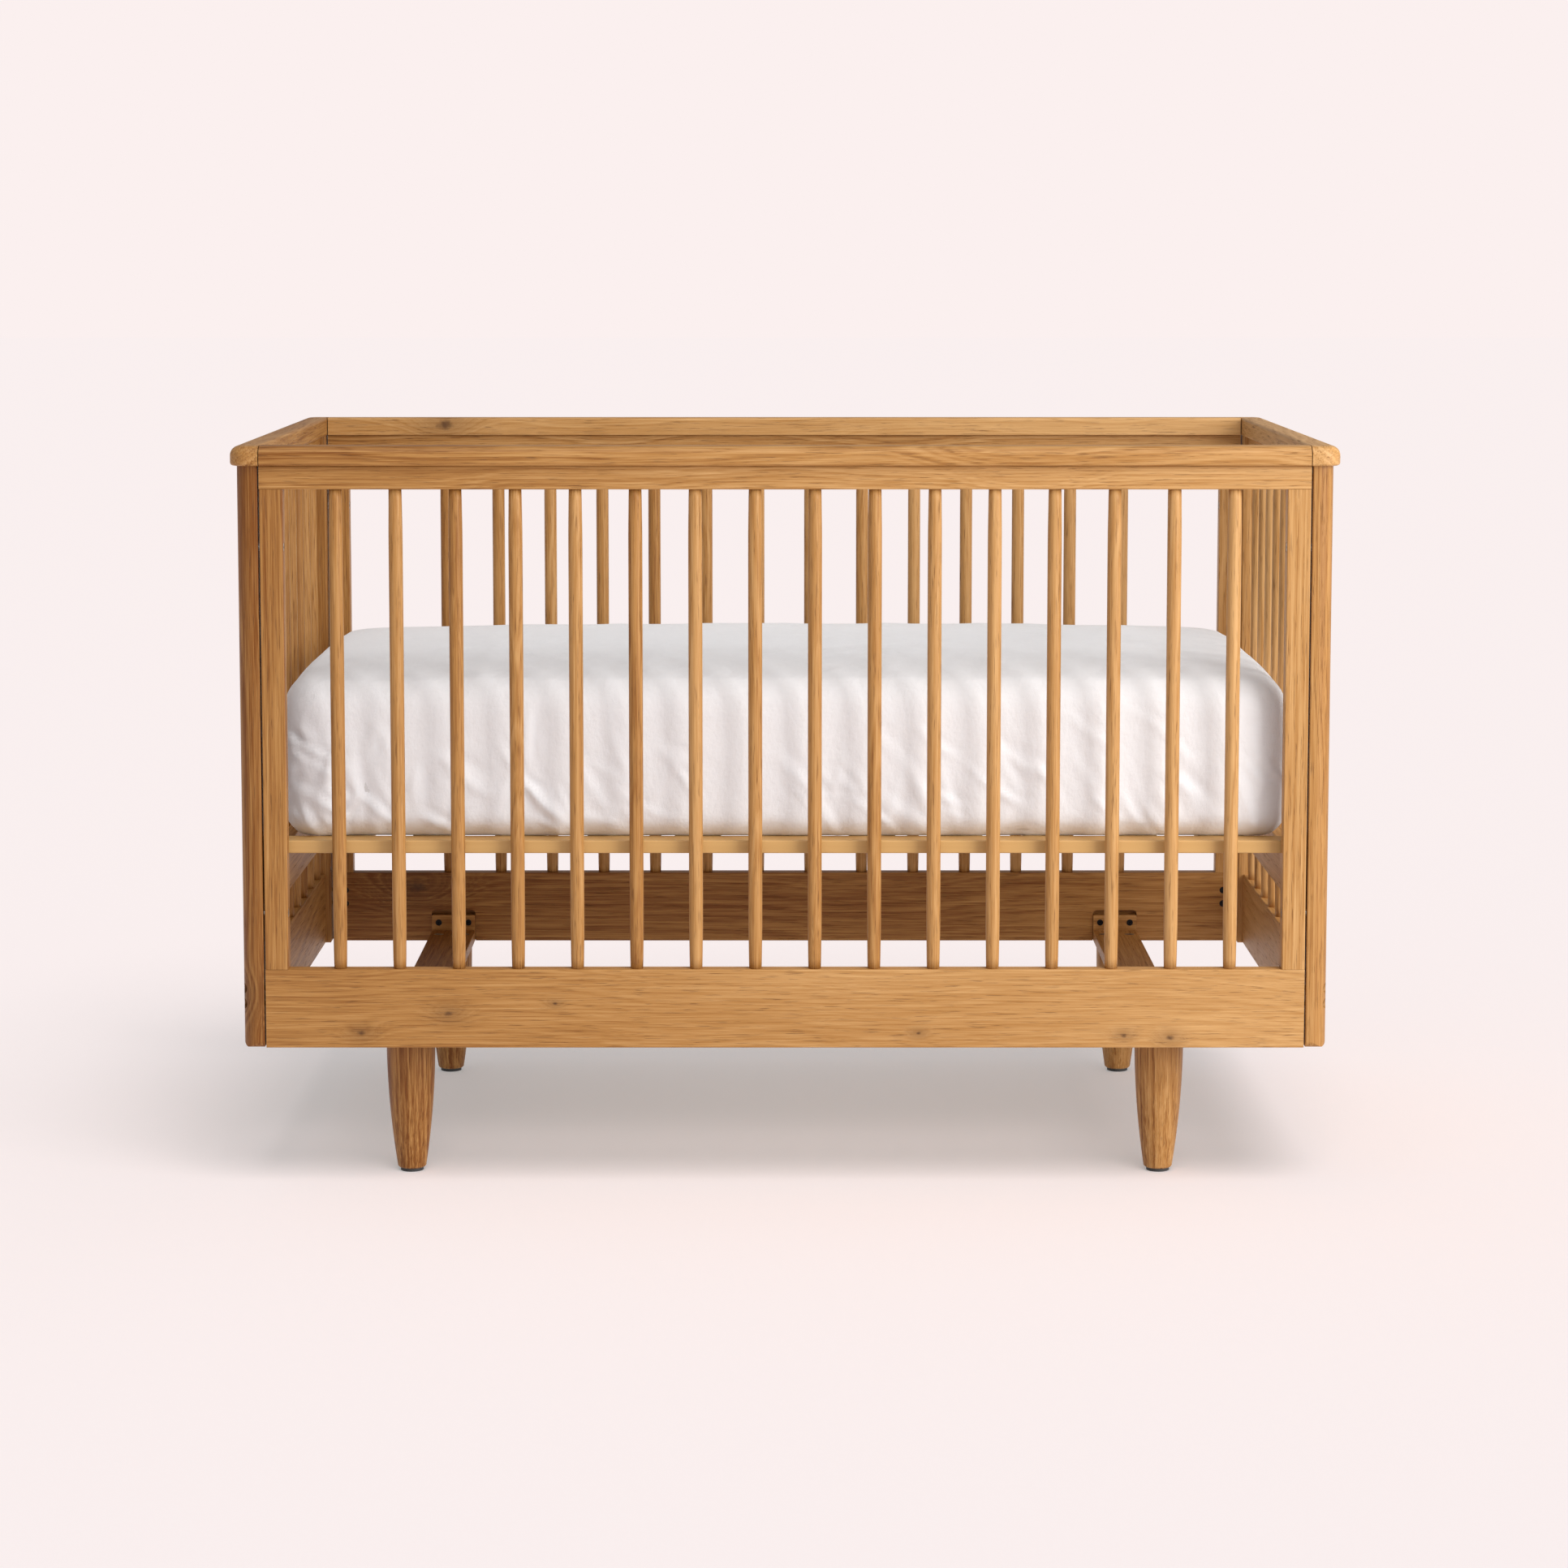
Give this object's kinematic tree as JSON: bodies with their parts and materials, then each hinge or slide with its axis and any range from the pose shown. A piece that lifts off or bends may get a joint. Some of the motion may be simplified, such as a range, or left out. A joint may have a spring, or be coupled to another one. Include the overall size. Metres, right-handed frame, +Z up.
{
  "type": "baby crib",
  "caption": "Slatted oak baby crib on turned legs, with rounded corner posts, a height-adjustable slatted base and a sheeted mattress.",
  "frame": {"origin": "middle of the footprint on the floor, under the middle of the crib", "axes": "+X along the crib towards its right end, -Y out of its front, +Z up"},
  "size_m": [1.416, 0.786, 0.959],
  "materials": {
    "oak": "honey stained oak under a satin lacquer",
    "base_board": "smooth tan lacquered board",
    "slat_pine": "plain planed softwood",
    "dowel_beech": "fluted hardwood dowel",
    "zinc_steel": "zinc plated",
    "black_steel": "black oxide",
    "glide_plastic": "moulded nylon",
    "mattress_cover": "quilted knit ticking",
    "sheet_cotton": "plain woven cotton"
  },
  "bodies": {
    "frame": {"left_front_post": "oak", "right_front_post": "oak", "left_rear_post": "oak", "right_rear_post": "oak", "left_end_cap": "oak", "right_end_cap": "oak", "front_cap": "oak", "rear_cap": "oak", "left_end_top_rail": "oak", "right_end_top_rail": "oak", "left_end_bottom_rail": "oak", "right_end_bottom_rail": "oak", "left_end_spindles": "oak", "right_end_spindles": "oak", "front_top_rail": "oak", "rear_top_rail": "oak", "front_bottom_rail": "oak", "rear_bottom_rail": "oak", "left_front_stile": "oak", "right_front_stile": "oak", "left_rear_stile": "oak", "right_rear_stile": "oak", "front_spindles": "oak", "rear_spindles": "oak", "left_brace": "oak", "right_brace": "oak", "left_front_brace_block": "oak", "right_front_brace_block": "oak", "left_rear_brace_block": "oak", "right_rear_brace_block": "oak", "left_front_leg": "oak", "right_front_leg": "oak", "left_rear_leg": "oak", "right_rear_leg": "oak", "leg_glides": "glide_plastic", "leg_bolts": "zinc_steel", "leg_inserts": "zinc_steel", "panel_bolts": "zinc_steel", "panel_inserts": "zinc_steel", "corner_bolts": "black_steel", "barrel_nuts": "black_steel", "block_bolts": "black_steel", "block_inserts": "zinc_steel", "cam_locks": "zinc_steel", "cam_dowels": "zinc_steel", "cap_dowels": "dowel_beech", "base_inserts": "zinc_steel"},
    "mattress_base": {"base_front_board": "base_board", "base_rear_board": "base_board", "left_base_end_board": "oak", "right_base_end_board": "oak", "base_slats": "slat_pine", "slat_screws": "zinc_steel", "base_board_screws": "zinc_steel", "base_bolts": "black_steel"},
    "mattress": {"mattress": "mattress_cover", "fitted_sheet": "sheet_cotton"}
  },
  "joints": [
    {"name": "base_height", "type": "slide", "parent": "frame", "child": "mattress_base", "axis": [0, 0, 1], "range_m": [-0.11, 0]},
    {"name": "mattress_lift", "type": "slide", "parent": "mattress_base", "child": "mattress", "axis": [0, 0, 1], "range_m": [0, 0.52]}
  ]
}
